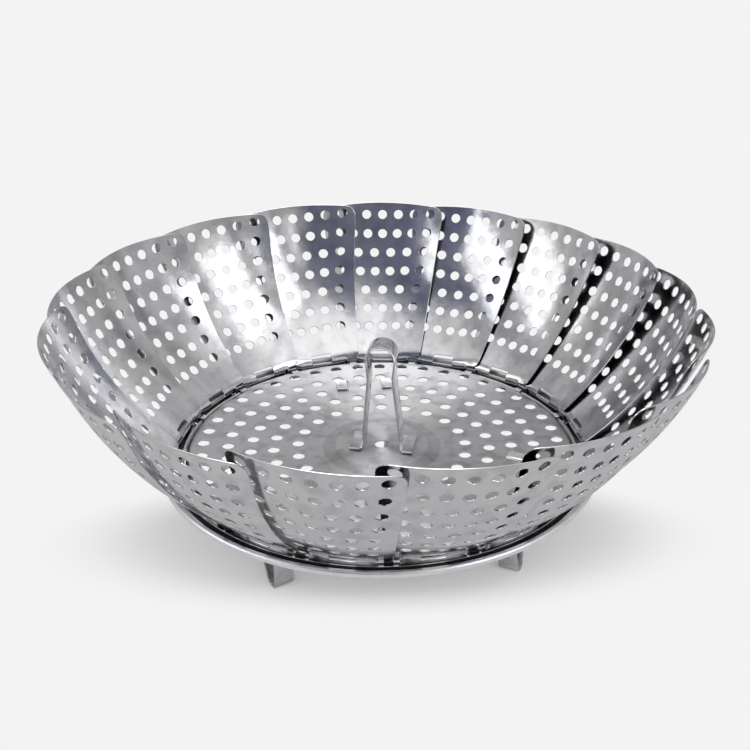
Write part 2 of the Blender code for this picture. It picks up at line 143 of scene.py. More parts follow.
def rounded(corners: Sequence[Pair], radii: Sequence[float], steps: int, closed: bool) -> Array:
    """Round the corners of a line: at each, an arc touches both sides.

    The arc's centre lies on the corner's bisector, at radius / sin(half angle).

    Args:
        corners: The line's corners in order.
        radii: The arc radius at each corner, zero for a sharp one.
        steps: How many pieces each arc has.
        closed: Whether the last corner joins the first.

    Returns:
        The points of the rounded line.
    """
    places = np.array(corners, float)
    found: list[Array] = []
    for i, (corner, radius) in enumerate(zip(places, radii)):
        ends = not closed and i in (0, len(places) - 1)
        if ends or radius <= 0.0:
            found.append(corner[None])
            continue
        before = places[i - 1] - corner
        after = places[(i + 1) % len(places)] - corner
        before, after = before / np.linalg.norm(before), after / np.linalg.norm(after)
        half = math.acos(float(np.clip(before @ after, -1.0, 1.0))) / 2
        bisector = (before + after) / np.linalg.norm(before + after)
        centre = corner + bisector * radius / math.sin(half)
        start = corner + before * radius / math.tan(half) - centre
        sweep = math.pi - 2 * half
        if before[0] * after[1] - before[1] * after[0] > 0.0:
            sweep = -sweep
        angle = np.linspace(0.0, sweep, steps + 1)[:, None]
        across = np.array([-start[1], start[0]])
        found.append(centre + np.cos(angle) * start + np.sin(angle) * across)
    return np.vstack(found)


def rounded_box(low: Pair, high: Pair, corner: float) -> Array:
    """A rectangle between two corners, anticlockwise, with its four corners rounded."""
    corners = [low, (high[0], low[1]), high, (low[0], high[1])]
    return rounded(corners, [corner] * 4, BOX_STEPS, True)


def divided(line: Array, longest: float, closed: bool) -> Array:
    """Add points along a line so that no piece of it is longer than asked.

    Args:
        line: The line's points.
        longest: The longest piece allowed.
        closed: Whether the last point joins the first.

    Returns:
        The line with the added points, evenly spread on each piece.
    """
    ends = np.roll(line, -1, axis=0) if closed else line[1:]
    starts = line if closed else line[:-1]
    pieces = np.linalg.norm(ends - starts, axis=1) / longest
    counts = np.maximum(1, np.ceil(pieces - ROUNDING)).astype(int)
    which = np.repeat(np.arange(len(starts)), counts)
    step = np.arange(len(which)) - np.repeat(np.cumsum(counts) - counts, counts)
    share = (step / counts[which])[:, None]
    points = starts[which] * (1 - share) + ends[which] * share
    return points if closed else np.vstack([points, line[-1:]])


def inside(points: Array, loops: Sequence[Array]) -> Array:
    """Tell which points lie inside the first loop and outside the others.

    A line from the point crosses the loops' edges an odd number of times there.

    Args:
        points: The points to test.
        loops: The outer loop and the holes in it.

    Returns:
        True for each point inside.
    """
    x1, y1 = np.vstack(loops).T
    x2, y2 = np.vstack([np.roll(loop, -1, axis=0) for loop in loops]).T
    rise = np.where(y2 == y1, 1.0, y2 - y1)
    found = []
    for block in np.array_split(points, max(1, len(points) // BLOCK_ROWS)):
        x, y = block[:, 0:1], block[:, 1:2]
        crossed = ((y1 > y) != (y2 > y)) & (x < x1 + (y - y1) * (x2 - x1) / rise)
        found.append(crossed.sum(axis=1) % 2 == 1)
    return np.concatenate(found)


def far_from(points: Array, others: Array, distance: float) -> Array:
    """Tell which points are at least a distance from all the others.

    Args:
        points: The points to test.
        others: The points to keep away from.
        distance: The least distance.

    Returns:
        True for each point that is far enough.
    """
    clear = np.ones(len(points), bool)
    for block in np.array_split(others, max(1, len(others) // BLOCK_ROWS)):
        gap = points[:, None, :] - block[None, :, :]
        clear &= (gap**2).sum(axis=2).min(axis=1) >= distance**2
    return clear


def cut_blank(outline: Array, holes: Sequence[Array], spacing: float) -> Blank:
    """Cut a flat sheet and fill it with well-shaped triangles.

    A staggered lattice of points fills the sheet between its loops, and a
    constrained triangulation joins all of them. A triangle with all its corners
    on one hole lies in that hole, because the holes are convex, and is dropped.

    Args:
        outline: The outer loop.
        holes: The convex loops that are cut out.
        spacing: The lattice's pitch.

    Returns:
        The cut sheet.
    """
    low, high = outline.min(axis=0), outline.max(axis=0)
    row_pitch = spacing * math.sqrt(3.0) / 2
    across, along = np.meshgrid(
        np.arange(low[0], high[0], spacing), np.arange(low[1], high[1], row_pitch)
    )
    across = across + (np.arange(across.shape[0]) % 2)[:, None] * spacing / 2
    lattice = np.stack([across.ravel(), along.ravel()], axis=1)
    loops = [outline, *holes]
    rims = np.vstack(loops)
    clear = far_from(lattice, rims, spacing * CLEAR_SHARE)
    lattice = lattice[inside(lattice, loops) & clear]
    label = np.concatenate([np.full(len(loop), i) for i, loop in enumerate(loops)])
    label = np.concatenate([label, np.full(len(lattice), -1)])
    sizes = [len(loop) for loop in loops]
    firsts = np.repeat(np.cumsum([0, *sizes[:-1]]), sizes)
    here = np.arange(len(rims))
    after = firsts + (here - firsts + 1) % np.repeat(sizes, sizes)
    everything = np.vstack([rims, lattice])
    flat = [Vector(p) for p in (everything / MM).tolist()]
    edges = np.stack([here, after], axis=1).tolist()
    verts, _, faces, origins, _, _ = geometry.delaunay_2d_cdt(flat, edges, [], 1, MERGE_MM)
    points = np.array([tuple(v) for v in verts]) * MM
    kept = label[np.array([origin[0] if origin else -1 for origin in origins])]
    triangles = np.array([face for face in faces if len(face) == 3])
    corner = kept[triangles]
    in_hole = (corner[:, 0] > 0) & (corner == corner[:, 0:1]).all(axis=1)
    used = triangles[~in_hole]
    a, b, c = points[used[:, 0]], points[used[:, 1]], points[used[:, 2]]
    area = (b - a)[:, 0] * (c - a)[:, 1] - (b - a)[:, 1] * (c - a)[:, 0]
    used[area < 0] = used[area < 0][:, ::-1]
    used = used[np.abs(area) > SLIVER]
    names, back = np.unique(used, return_inverse=True)
    return Blank(points[names], back.reshape(used.shape))


def sheet_solid(blank: Blank, place: Place, thickness: float, chamfer: float) -> Surface:
    """Bend a flat sheet and give it thickness and broken edges.

    The middle surface is place(across, along). The front lies half a thickness
    along its normal and the back half a thickness against it. Round every cut
    edge both faces stop a chamfer short, and three strips close the edge.

    Args:
        blank: The flat sheet.
        place: The function that bends it.
        thickness: The sheet's thickness.
        chamfer: The size of the broken edge.

    Returns:
        The closed surface of the sheet.
    """
    flat, triangles = blank.points, blank.triangles
    count = len(flat)
    ends = np.concatenate([triangles[:, [0, 1]], triangles[:, [1, 2]], triangles[:, [2, 0]]])
    code = ends[:, 0] * count + ends[:, 1]
    rim = ends[~np.isin(code, ends[:, 1] * count + ends[:, 0])]
    run = unit(flat[rim[:, 1]] - flat[rim[:, 0]])
    outward = np.zeros_like(flat)
    normal_of_edge = np.stack([run[:, 1], -run[:, 0]], axis=1)
    np.add.at(outward, rim[:, 0], normal_of_edge)
    np.add.at(outward, rim[:, 1], normal_of_edge)
    length = np.linalg.norm(outward, axis=1)
    on_rim = length > 0
    outward[on_rim] /= length[on_rim][:, None]
    inset = flat - outward * chamfer
    u, s = inset.T
    across = place(u + PROBE, s) - place(u - PROBE, s)
    along = place(u, s + PROBE) - place(u, s - PROBE)
    normal = unit(np.cross(across, along))
    face = place(u, s)
    edge = place(flat[:, 0], flat[:, 1])
    deep, shallow = thickness / 2, thickness / 2 - chamfer
    rows = [face + normal * deep, edge + normal * shallow, edge - normal * shallow]
    points = np.vstack([*rows, face - normal * deep])
    a, b = rim[:, 0], rim[:, 1]
    strips = [
        np.stack([b + k * count, a + k * count, a + (k + 1) * count, b + (k + 1) * count], axis=1)
        for k in range(3)
    ]
    faces = triangles.tolist() + (triangles[:, ::-1] + 3 * count).tolist()
    faces += np.vstack(strips).tolist()
    used, back = np.unique(np.concatenate([np.ravel(f) for f in faces]), return_inverse=True)
    sizes = [len(f) for f in faces]
    renamed = np.split(back, np.cumsum(sizes)[:-1])
    pattern = np.vstack([flat] * 4)[used]
    return Surface(points[used], [r.tolist() for r in renamed], pattern)


def turned_copies(surface: Surface, angles: Sequence[float]) -> Surface:
    """Copy a surface about the Z axis, all copies in one mesh.

    Args:
        surface: The surface at angle zero.
        angles: The turn of each copy.

    Returns:
        The copies.
    """
    count = len(surface.points)
    points = np.vstack([turn_about_z(surface.points, angle) for angle in angles])
    faces = [[i + k * count for i in face] for k in range(len(angles)) for face in surface.faces]
    return Surface(points, faces, np.tile(surface.pattern, (len(angles), 1)))


def grid_faces(rows: int, columns: int, closed: bool) -> list[list[int]]:
    """Join a grid of points, whose rows are loops, with four-cornered faces.

    Args:
        rows: How many rows of points there are.
        columns: How many points each row has.
        closed: Whether the last row joins the first.

    Returns:
        The faces, as lists of point numbers.
    """
    i = np.arange(rows if closed else rows - 1)[:, None]
    j = np.arange(columns)[None, :]
    below, beside = (i + 1) % rows, (j + 1) % columns
    corners = [i * columns + j, i * columns + beside,
               below * columns + beside, below * columns + j]
    return np.stack([c.ravel() for c in corners], axis=1).tolist()


def revolved(section: Array, steps: int) -> Surface:
    """Spin a closed section about Z: each point (r, z) becomes (r cos a, r sin a, z).

    Args:
        section: The section's points (radius, height), anticlockwise.
        steps: How many copies of the section the ring has.

    Returns:
        The closed ring.
    """
    angle = (np.arange(steps) * (math.tau / steps))[:, None]
    radius, height = section[:, 0][None], section[:, 1][None]
    x, y = radius * np.cos(angle), radius * np.sin(angle)
    z = np.broadcast_to(height, x.shape)
    points = np.stack([x, y, z], axis=2).reshape(-1, 3)
    run = np.broadcast_to(distance_along(section), x.shape)
    pattern = np.stack([radius * angle, run], axis=2).reshape(-1, 2)
    faces = grid_faces(steps, len(section), True)
    return Surface(points, [face[::-1] for face in faces], pattern)


def strip_along(path: Array, half_widths: Array, thickness: float, round_edge: float) -> Surface:
    """Carry a flat strip's section along a path in the XZ plane.

    The section is a rectangle with its four edges rounded, as wide along Y as
    the half widths say, and as thick along the path's normal as asked.

    Args:
        path: The path's points (x, z).
        half_widths: Half the strip's width at each point.
        thickness: The strip's thickness.
        round_edge: The radius on its four long edges.

    Returns:
        The closed strip.
    """
    run = unit(np.gradient(path, axis=0))
    normal = np.stack([-run[:, 1], run[:, 0]], axis=1)
    half = thickness / 2
    corners = [(-1.0, -half), (1.0, -half), (1.0, half), (-1.0, half)]
    quarter = np.linspace(0.0, math.pi / 2, STRIP_POINTS)
    sides, heights, signs = [], [], []
    for k, (side, height) in enumerate(corners):
        angle = quarter + math.pi + k * math.pi / 2
        sides.append(round_edge * (np.cos(angle) - side))
        heights.append(height - math.copysign(round_edge, height) + round_edge * np.sin(angle))
        signs.append(np.full(len(quarter), side))
    offset, lift, sign = np.concatenate(sides), np.concatenate(heights), np.concatenate(signs)
    y = sign[None] * half_widths[:, None] + offset[None]
    x = path[:, 0:1] + normal[:, 0:1] * lift[None]
    z = path[:, 1:2] + normal[:, 1:2] * lift[None]
    points = np.stack([x, y, z], axis=2).reshape(-1, 3)
    columns = len(lift)
    faces = grid_faces(len(path), columns, False)
    first = list(range(columns))
    last = [i + (len(path) - 1) * columns for i in first]
    faces += [first[::-1], last]
    along = np.broadcast_to(distance_along(path)[:, None], y.shape)
    pattern = np.stack([y, along], axis=2).reshape(-1, 2)
    return Surface(points, faces, pattern)


@dataclass(frozen=True)
class Noise:
    """A noise pattern.

    Attributes:
        scale: How fine it is, for each metre.
        detail: How much finer detail lies in it.
    """

    scale: float
    detail: float


CLOUDS, SPECKS, STAINS = Noise(38.0, 3.0), Noise(420.0, 2.0), Noise(150.0, 5.0)
MARKS, WAVES, DENTS = Noise(1.0, 3.0), Noise(26.0, 1.0), Noise(210.0, 2.0)
# Between which values of its noise each change runs from start to end.
CLOUD_RANGE, STAIN_RANGE, TINT_STOPS = (0.3, 0.7), (0.36, 0.52), (0.32, 0.68)
SPECK_SHARE = 0.3  # how much of the cloud's variation the fine noise adds
QUARTER_TURN = 0.25  # a highlight's stretch is turned from along the rings to outward


class Nodes:
    """The nodes of one finish or of the room, with short calls for what repeats.

    What feeds a node is a socket, which gets linked, or a plain value.
    """

    def __init__(self, tree: bpy.types.NodeTree) -> None:
        """Work on a tree, with its texture coordinates at hand."""
        self.tree = tree
        self.place = tree.nodes.new("ShaderNodeTexCoord").outputs

    def feed(self, node: bpy.types.Node, inputs: dict[str | int, Feed]) -> bpy.types.Node:
        """Fill a node's inputs.

        Args:
            node: The node.
            inputs: What goes into each of its inputs.

        Returns:
            The node.
        """
        for key, value in inputs.items():
            if isinstance(value, bpy.types.NodeSocket):
                self.tree.links.new(value, node.inputs[key])
            else:
                node.inputs[key].default_value = value
        return node

    def add(self, kind: str, inputs: dict[str | int, Feed]) -> bpy.types.Node:
        """Add a node of a kind and fill its inputs."""
        return self.feed(self.tree.nodes.new("ShaderNode" + kind), inputs)

    def split(self, vector: Feed, axis: str) -> Socket:
        """One of a vector's three numbers."""
        return self.add("SeparateXYZ", {"Vector": vector}).outputs[axis]

    def mapped(self, vector: Feed, scale: Scale) -> Socket:
        """A vector with each of its numbers scaled."""
        return self.add("Mapping", {"Vector": vector, "Scale": scale}).outputs["Vector"]

    def noise(self, vector: Feed, noise: Noise) -> Socket:
        """The value of a noise pattern at a place."""
        inputs = {"Vector": vector, "Scale": noise.scale, "Detail": noise.detail}
        return self.add("TexNoise", inputs).outputs["Fac"]

    def math(self, operation: str, *values: Feed) -> Socket:
        """Add one step of arithmetic on numbers.

        Args:
            operation: What is done.
            values: What it is done to, in the node's order.

        Returns:
            The result.
        """
        node = self.add("Math", dict(enumerate(values)))
        node.operation = operation
        return node.outputs["Value"]

    def vector(self, operation: str, *vectors: Feed) -> Socket:
        """Add one step on vectors that gives a number.

        Args:
            operation: What is done: a length or a dot product.
            vectors: What it is done to.

        Returns:
            The number.
        """
        node = self.add("VectorMath", dict(enumerate(vectors)))
        node.operation = operation
        return node.outputs["Value"]

    def scaled(self, colour: Feed, share: Feed) -> Socket:
        """Add a colour times a number.

        Args:
            colour: The colour.
            share: The number.

        Returns:
            The product.
        """
        node = self.tree.nodes.new("ShaderNodeVectorMath")
        node.operation = "SCALE"
        return self.feed(node, {0: colour, "Scale": share}).outputs["Vector"]

    def ranged(self, value: Feed, source: Pair, target: Pair = (0.0, 1.0),
               smooth: bool = False) -> Socket:
        """Map a value from one range to another, and hold it within that.

        Args:
            value: What is mapped.
            source: The range it comes from.
            target: The range it goes to.
            smooth: Whether it starts and ends softly.

        Returns:
            The result.
        """
        ends = dict(zip(("From Min", "From Max", "To Min", "To Max"), (*source, *target)))
        node = self.add("MapRange", {"Value": value, **ends})
        node.interpolation_type = "SMOOTHSTEP" if smooth else "LINEAR"
        return node.outputs["Result"]

    def ramp(self, value: Feed, stops: Sequence[tuple[float, Colour]]) -> Socket:
        """Turn a value into a colour that runs from stop to stop.

        Args:
            value: What the ramp reads.
            stops: The place and the colour of each stop.

        Returns:
            The colour.
        """
        node = self.add("ValToRGB", {"Fac": value})
        elements = node.color_ramp.elements
        while len(elements) < len(stops):
            elements.new(0.5)  # its place is set below
        for element, (position, colour) in zip(elements, stops):
            element.position = position
            element.color = (*colour, 1.0)
        return node.outputs["Color"]

    def mix(self, share: Feed, first: Feed, second: Feed) -> Socket:
        """Add a mix of two colours.

        Args:
            share: How much of the second one shows.
            first: The first colour.
            second: The second colour.

        Returns:
            The mix.
        """
        node = self.tree.nodes.new("ShaderNodeMix")
        node.data_type = "RGBA"
        return self.feed(node, {"Factor": share, "A": first, "B": second}).outputs["Result"]

    def bump(self, height: Feed, depth: float, over: dict[str, Feed]) -> dict[str, Feed]:
        """Add relief on top of the relief so far, given and returned as a normal input."""
        inputs = {"Strength": 1.0, "Distance": depth, "Height": height, **over}
        return {"Normal": self.add("Bump", inputs).outputs["Normal"]}


class Grain(Enum):
    """Which way polishing marks run: how fine their noise is across and along."""

    ACROSS = (60.0, 3200.0, 1.0)
    ALONG = (3200.0, 60.0, 1.0)


@dataclass(frozen=True)
class PaintedShadeBand:
    """A ring of the part, about its axis, where shade is painted: the steel is darker there.

    Attributes:
        inner: Its inner radius.
        outer: Its outer radius.
        soft: How far its edges fade.
        level: How much of the colour is left in it.
    """

    inner: float
    outer: float
    soft: float
    level: float

    def left(self, nodes: Nodes) -> Socket:
        """Shade by the distance from the axis.

        Args:
            nodes: The finish's nodes.

        Returns:
            How much of the colour is left.
        """
        radius = nodes.vector("LENGTH", nodes.mapped(nodes.place["Object"], (1.0, 1.0, 0.0)))
        fades = []
        for edge, levels in ((self.inner, (1.0, self.level)), (self.outer, (self.level, 1.0))):
            fades.append(nodes.ranged(radius, (edge - self.soft, edge + self.soft), levels))
        return nodes.math("MAXIMUM", *fades)


@dataclass(frozen=True)
class PaintedFootShade:
    """Painted shade at the foot of a petal's outer face, which fades from dark.

    Attributes:
        start: How far along the sheet the fade starts.
        end: How far along it ends.
        level: How much of the colour is left below it.
        turn: How far the face has to turn outward, as its normal times its place.
    """

    start: float
    end: float
    level: float
    turn: float = 0.01

    def left(self, nodes: Nodes) -> Socket:
        """Shade by the distance along, where the normal points away from the middle.

        Args:
            nodes: The finish's nodes.

        Returns:
            How much of the colour is left.
        """
        along = nodes.split(nodes.place["UV"], "Y")
        shade = nodes.ranged(along, (self.start, self.end), (self.level, 1.0))
        facing = nodes.vector("DOT_PRODUCT", nodes.place["Normal"], nodes.place["Object"])
        inner = nodes.ranged(facing, (-self.turn, self.turn), (1.0, 0.0))
        return nodes.math("MAXIMUM", shade, inner)


@dataclass(frozen=True)
class PaintedCoverShade:
    """Painted shade on the strip of a petal's outer face that its neighbour covers.

    Attributes:
        start: How far from the middle the strip starts at the foot.
        growth: How much farther out it starts for each unit along the petal.
        soft: How far its edge fades.
        level: How much of the colour is left in it.
        turn: How far the face has to turn down, as its normal's height.
    """

    start: float
    growth: float
    soft: float
    level: float
    turn: float = 0.05

    def left(self, nodes: Nodes) -> Socket:
        """Shade where across + start + growth x along is below zero.

        The pattern's first number is the distance across plus a whole number of
        sheet strides, one for each petal, so it is wrapped back first.

        Args:
            nodes: The finish's nodes.

        Returns:
            How much of the colour is left.
        """
        half = SHEET_STRIDE / 2
        across = nodes.math("WRAP", nodes.split(nodes.place["UV"], "X"), half, -half)
        along = nodes.split(nodes.place["UV"], "Y")
        limit = nodes.math("MULTIPLY_ADD", along, self.growth, self.start)
        bare = nodes.math("ADD", across, limit)
        shade = nodes.ranged(bare, (-self.soft, self.soft), (self.level, 1.0))
        facing = nodes.split(nodes.place["Normal"], "Z")
        return nodes.math("MAXIMUM", shade, nodes.ranged(facing, (-self.turn, self.turn)))


@dataclass(frozen=True)
class SteelFinish:
    """One stainless finish.

    Attributes:
        name: The material's name.
        colour: Its base colour, linear.
        roughness: Its mean roughness.
        cloud: How much the roughness varies in soft patches.
        grain: Which way the polishing marks run.
        grain_depth: How deep the marks are.
        wave_depth: How deep the soft waves of the rolled sheet are.
        dent_depth: How deep the small uneven dents are.
        stain: How much the small stains take from the colour.
        shades: Where shade is painted on it, making it darker.
        spun: How far fine rings about the axis stretch each highlight outward.
        cool: What the cooler patches make of the colour.
        warm: What the warmer patches make of it.
    """

    name: str
    colour: Colour
    roughness: float
    cloud: float
    grain: Grain
    grain_depth: float
    wave_depth: float
    dent_depth: float = 0.03 * MM
    stain: float = 0.16
    shades: tuple[PaintedShadeBand | PaintedFootShade | PaintedCoverShade, ...] = ()
    spun: float = 0.0
    cool: Colour = (0.93, 0.945, 0.99)
    warm: Colour = (1.02, 1.01, 0.995)

    @cache
    def material(self) -> bpy.types.Material:
        """Build the node material, once for all the pieces that have it.

        The roughness is its mean + cloud x (soft noise - half) + a trace of fine
        noise. The same soft noise leads the colour from cool to warm.

        Returns:
            The material.
        """
        made = bpy.data.materials.new(self.name)
        made.use_nodes = True
        nodes = Nodes(made.node_tree)
        place = nodes.place["Object"]
        soft, half = nodes.noise(place, CLOUDS), self.cloud / 2
        mean = nodes.ranged(soft, CLOUD_RANGE, (self.roughness - half, self.roughness + half))
        fine = nodes.noise(place, SPECKS)
        inputs = {
            "Metallic": 1.0,
            "Roughness": nodes.math("MULTIPLY_ADD", fine, self.cloud * SPECK_SHARE, mean),
            "Base Color": self._colour(nodes, soft),
            **self._relief(nodes),
        }
        if self.spun > 0.0:
            rings = nodes.add("Tangent", {})
            rings.direction_type, rings.axis = "RADIAL", "Z"
            inputs |= {"Tangent": rings.outputs["Tangent"], "Anisotropic": self.spun,
                       "Anisotropic Rotation": QUARTER_TURN}
        nodes.feed(made.node_tree.nodes["Principled BSDF"], inputs)
        return made

    def _colour(self, nodes: Nodes, soft: Socket) -> Socket:
        """Vary the colour between a cooler and a warmer grey, with stains and painted shade.

        Args:
            nodes: The finish's nodes.
            soft: The soft noise.

        Returns:
            The colour.
        """
        tints = [tuple(min(1.0, c * k) for c, k in zip(self.colour, tint))
                 for tint in (self.cool, self.warm)]
        small = nodes.noise(nodes.place["Object"], STAINS)
        kept = nodes.ranged(small, STAIN_RANGE, (1.0 - self.stain, 1.0))
        for shade in self.shades:
            kept = nodes.math("MULTIPLY", kept, shade.left(nodes))
        return nodes.scaled(nodes.ramp(soft, list(zip(TINT_STOPS, tints))), kept)

    def _relief(self, nodes: Nodes) -> dict[str, Feed]:
        """Lay the polishing marks, the soft waves and the small dents on each other.

        Args:
            nodes: The finish's nodes.

        Returns:
            The normal input.
        """
        marks = nodes.noise(nodes.mapped(nodes.place["UV"], self.grain.value), MARKS)
        relief = nodes.bump(marks, self.grain_depth, {})
        for pattern, depth in ((WAVES, self.wave_depth), (DENTS, self.dent_depth)):
            relief = nodes.bump(nodes.noise(nodes.place["Object"], pattern), depth, relief)
        return relief


PETAL_FINISH = SteelFinish(
    "petal steel", (0.70, 0.70, 0.712), roughness=0.15, cloud=0.08,
    grain=Grain.ALONG, grain_depth=0.0015 * MM, wave_depth=0.12 * MM, dent_depth=0.05 * MM,
    # painted shade: the foot of each petal's outer face fades from dark
    # painted shade: the strip of each petal's outer face under its neighbour is near black
    shades=(PaintedFootShade(0.6 * MM, 1.5 * MM, 0.10), PaintedCoverShade(14.0 * MM, 0.13, 1.5 * MM, 0.015)))
PLATE_FINISH = SteelFinish(
    "plate steel", (0.57, 0.57, 0.575), roughness=0.33, cloud=0.14,
    grain=Grain.ACROSS, grain_depth=0.0015 * MM, wave_depth=0.10 * MM, stain=0.24, spun=0.9,
    # painted shade: the sloping ring round the hub is a little darker
    shades=(PaintedShadeBand(19.2 * MM, 24.6 * MM, 0.5 * MM, 0.80),
            # painted shade: the plate's rolled edge is near black
            PaintedShadeBand(78.9 * MM, 95.0 * MM, 0.4 * MM, 0.08)))
RIM_FINISH = SteelFinish(
    "rim steel", (0.90, 0.90, 0.90), roughness=0.34, cloud=0.06,
    grain=Grain.ALONG, grain_depth=0.001 * MM, wave_depth=0.0, dent_depth=0.01 * MM, stain=0.06,
    # painted shade: the groove beside the rim's lip is near black
    shades=(PaintedShadeBand(85.35 * MM, 86.5 * MM, 0.1 * MM, 0.05),))
LOOP_FINISH = SteelFinish(
    "loop steel", (0.648, 0.648, 0.6552), roughness=0.12, cloud=0.06,
    grain=Grain.ALONG, grain_depth=0.001 * MM, wave_depth=0.08 * MM)
LEG_FINISH = SteelFinish(
    "leg steel", (0.74, 0.74, 0.745), roughness=0.22, cloud=0.10,
    grain=Grain.ALONG, grain_depth=0.001 * MM, wave_depth=0.08 * MM, stain=0.24)
WIRE_FINISH = SteelFinish(
    "wire steel", (0.6, 0.6, 0.605), roughness=0.3, cloud=0.06,
    grain=Grain.ALONG, grain_depth=0.001 * MM, wave_depth=0.0,
    # painted shade: the outer side of the hinge wire is darker
    shades=(PaintedShadeBand(81.9 * MM, 95.0 * MM, 0.2 * MM, 0.2),))
CLIP_FINISH = SteelFinish(
    "clip steel", (0.6, 0.6, 0.605), roughness=0.42, cloud=0.08,
    grain=Grain.ALONG, grain_depth=0.001 * MM, wave_depth=0.0,
    # painted shade: the clips are near black outward of the wire
    shades=(PaintedShadeBand(82.0 * MM, 95.0 * MM, 0.3 * MM, 0.06),))


def petal_hinges() -> list[tuple[str, Array, float]]:
    """Read where the petals are hinged.

    Returns:
        Each petal's body, the place of its hinge and the direction of that place.
    """
    found = []
    for joint in frame["record"]["behaviour"]["joints"]:
        place = np.array(joint["pos_m"])
        found.append((joint["child"], place, math.atan2(place[1], place[0])))
    return found


def add_piece(name: str, surface: Surface, finish: SteelFinish, replaces: str,
              body: str = "base") -> None:
    """Put a surface into the scene as one piece of the basket, at the origin.

    Args:
        name: The piece's name.
        surface: Its points and faces, in place.
        finish: Its finish.
        replaces: The solid that it stands for.
        body: The body that it rides on.
    """
    mesh = bpy.data.meshes.new(name)
    mesh.from_pydata(surface.points.tolist(), [], surface.faces)
    mesh.materials.append(finish.material())
    corners = np.empty(len(mesh.loops), np.int32)
    mesh.loops.foreach_get("vertex_index", corners)
    layer = mesh.uv_layers.new(name="sheet pattern")
    layer.data.foreach_set("uv", surface.pattern[corners].astype(np.float32).ravel())
    mesh.shade_smooth()
    mesh.set_sharp_from_angle(angle=SHARP_EDGE)
    mesh.update()
    piece = bpy.data.objects.new(name, mesh)
    bpy.context.scene.collection.objects.link(piece)
    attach(piece, body)
    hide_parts(replaces)
    counts = (len(mesh.vertices), len(mesh.polygons))
    LOG.info("%s: %d points, %d faces, rides on %s", name, *counts, body)


